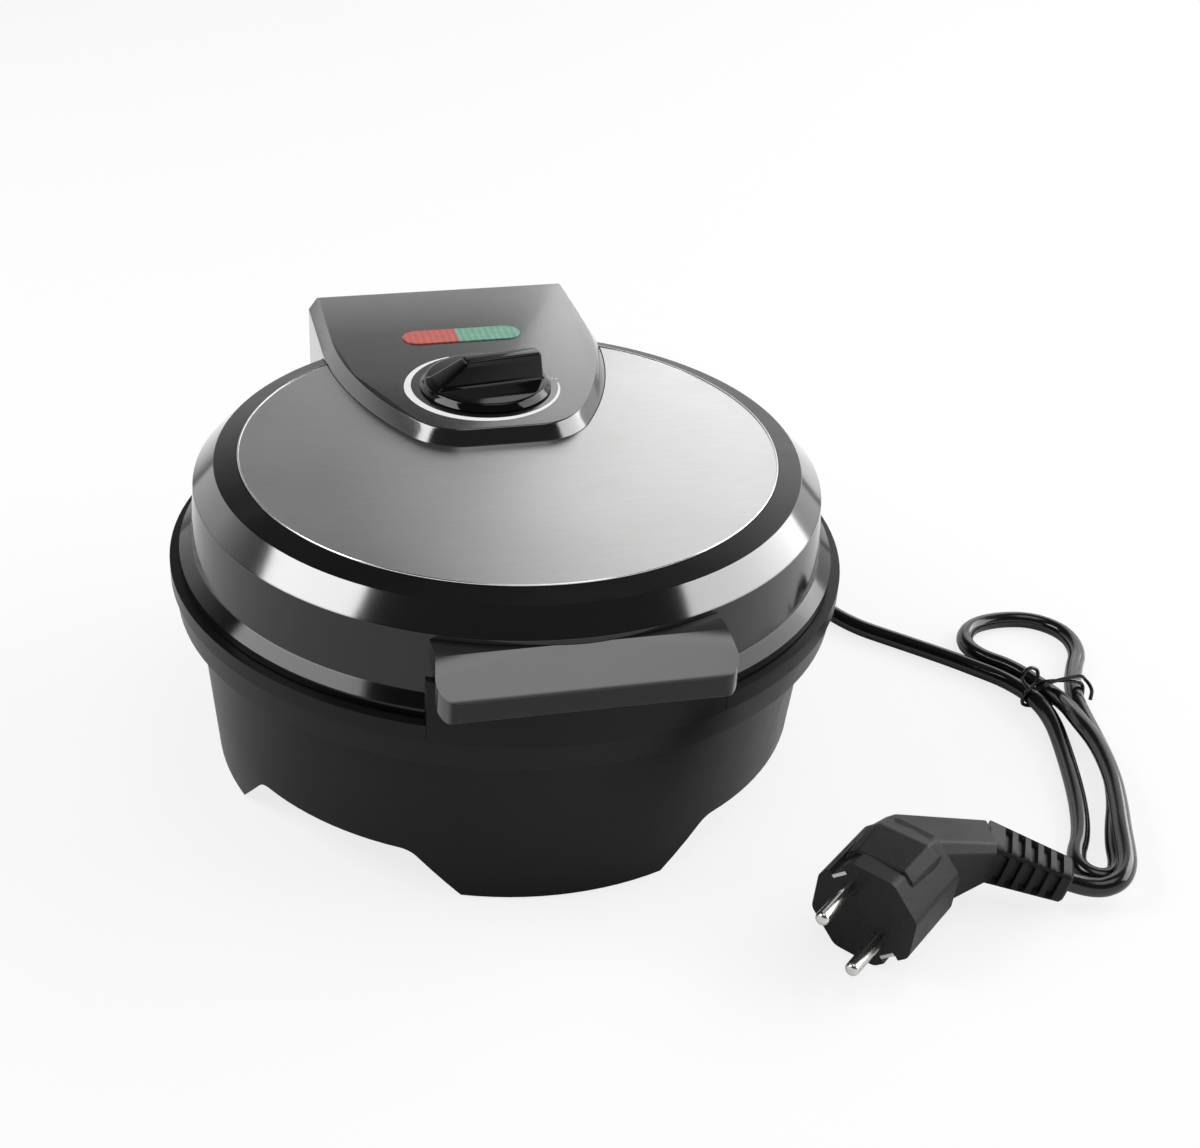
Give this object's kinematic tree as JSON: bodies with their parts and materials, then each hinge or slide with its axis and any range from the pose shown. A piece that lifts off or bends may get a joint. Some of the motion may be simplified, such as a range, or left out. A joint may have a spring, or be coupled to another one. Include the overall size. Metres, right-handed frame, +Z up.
{
  "type": "mini donut maker",
  "caption": "Round tabletop donut cooker with a hinged lid, ring moulds in both plates, a control pod with dial and lamps, a front handle, and a tied mains cord with plug.",
  "frame": {"origin": "on the table, under the middle of the round plates", "axes": "+Z up, +Y to the hinge, -Y to the front handle, +X to the cord's side"},
  "size_m": [0.3762, 0.3271, 0.1368],
  "materials": {
    "gloss_plastic": "gloss",
    "steel_sheet": "brushed",
    "cast_plate": "non-stick coat",
    "pan_sheet": "satin",
    "element_tube": "oxidised",
    "screw_steel": "satin",
    "matte_plastic": "matte",
    "terminal_ceramic": "matte",
    "foot_rubber": "matte",
    "red_lens_plastic": "gloss",
    "green_lens_plastic": "gloss",
    "lamp_glass": "gloss",
    "cord_rubber": "gloss",
    "plug_rubber": "matte",
    "contact_metal": "satin"
  },
  "bodies": {
    "base": {"base_shell": "gloss_plastic", "front_grip": "gloss_plastic", "foot_pads": "foot_rubber", "bottom_cover": "matte_plastic", "lower_reflector": "pan_sheet", "lower_heating_element": "element_tube", "lower_donut_plate": "cast_plate", "lower_tie_screws": "screw_steel", "hinge_pin": "screw_steel", "cord_gland": "cord_rubber", "inner_lead": "cord_rubber", "cord_clamp": "matte_plastic", "terminal_block": "terminal_ceramic", "thermal_fuse": "terminal_ceramic", "power_cord": "cord_rubber", "power_cord_hank": "cord_rubber", "cord_tie": "cord_rubber", "plug_body": "plug_rubber", "plug_pins": "contact_metal", "plug_earth_clips": "contact_metal", "plug_relief": "plug_rubber"},
    "lid": {"lid_shell": "gloss_plastic", "steel_cover": "steel_sheet", "upper_donut_plate": "cast_plate", "upper_heating_element": "element_tube", "upper_reflector": "pan_sheet", "upper_tie_screws": "screw_steel", "control_pod": "gloss_plastic", "pod_screws": "screw_steel", "red_lens": "red_lens_plastic", "green_lens": "green_lens_plastic", "lamp_holder": "matte_plastic", "indicator_lamps": "lamp_glass", "thermostat_bracket": "pan_sheet", "thermostat": "matte_plastic", "lid_handle": "gloss_plastic", "handle_screws": "screw_steel"},
    "knob": {"thermostat_shaft": "screw_steel", "knob": "gloss_plastic", "knob_spring_clip": "screw_steel"}
  },
  "joints": [
    {"name": "lid_hinge", "type": "hinge", "parent": "base", "child": "lid", "pos_m": [0, 0.128, 0.08], "axis": [-1, 0, 0], "range_deg": [0, 100]},
    {"name": "knob_turn", "type": "hinge", "parent": "lid", "child": "knob", "pos_m": [0, 0.04, 0.125], "axis": [0, 0, 1], "range_deg": [0, 270]}
  ]
}
